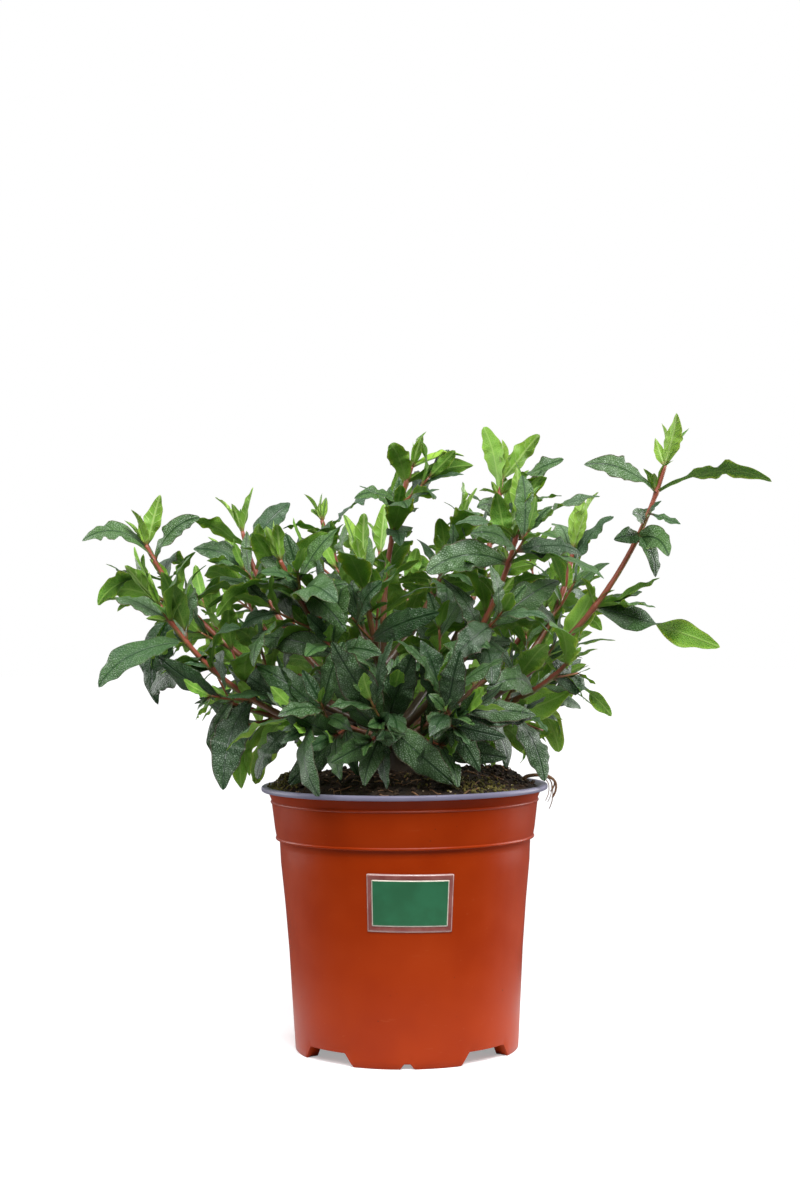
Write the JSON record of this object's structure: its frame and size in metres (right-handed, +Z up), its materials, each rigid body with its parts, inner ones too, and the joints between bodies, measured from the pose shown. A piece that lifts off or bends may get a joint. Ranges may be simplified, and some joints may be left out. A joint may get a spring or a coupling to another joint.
{
  "type": "potted gum rockrose shrub",
  "caption": "Young evergreen rockrose shrub with sticky narrow leaves on red-brown stems, rooted in a round terracotta-coloured plastic nursery pot of soil.",
  "frame": {"origin": "on the pot's axis, on the level surface that the pot stands on", "axes": "+Z up along the pot's axis, -Y towards the front with the label, +X to the right seen from the front"},
  "size_m": [0.4578, 0.2747, 0.4204],
  "materials": {
    "pot_plastic": "satin",
    "potting_soil": "crumbly, matte",
    "bark": "matte",
    "young_stem": "satin",
    "foliage": "satin, resinous",
    "label_sleeve": "clear gloss",
    "label_card": "printed card"
  },
  "bodies": {
    "root": {"bough_back": "young_stem", "bough_back_left": "young_stem", "bough_back_right": "young_stem", "bough_crown_left": "young_stem", "bough_crown_mid": "young_stem", "bough_crown_right": "young_stem", "bough_far_left": "young_stem", "bough_far_right": "young_stem", "bough_hang_right": "young_stem", "bough_left_back": "young_stem", "bough_left_front": "young_stem", "bough_left_inner": "young_stem", "bough_low_back": "young_stem", "bough_low_left": "young_stem", "bough_low_right": "young_stem", "bough_right_front": "young_stem", "bough_right_inner": "young_stem", "bough_top_back": "young_stem", "bough_top_left": "young_stem", "foliage_back": "foliage", "foliage_back_left": "foliage", "foliage_back_right": "foliage", "foliage_crown_left": "foliage", "foliage_crown_mid": "foliage", "foliage_crown_right": "foliage", "foliage_far_left": "foliage", "foliage_far_right": "foliage", "foliage_foot_back": "foliage", "foliage_foot_front": "foliage", "foliage_foot_left": "foliage", "foliage_foot_right": "foliage", "foliage_hang_right": "foliage", "foliage_left_back": "foliage", "foliage_left_front": "foliage", "foliage_left_inner": "foliage", "foliage_low_back": "foliage", "foliage_low_back_left": "foliage", "foliage_low_back_right": "foliage", "foliage_low_left": "foliage", "foliage_low_right": "foliage", "foliage_right_front": "foliage", "foliage_right_inner": "foliage", "foliage_top_back": "foliage", "foliage_top_left": "foliage", "label_card": "label_card", "label_sleeve": "label_sleeve", "pot": "pot_plastic", "soil": "potting_soil", "trunk": "bark"}
  },
  "joints": []
}
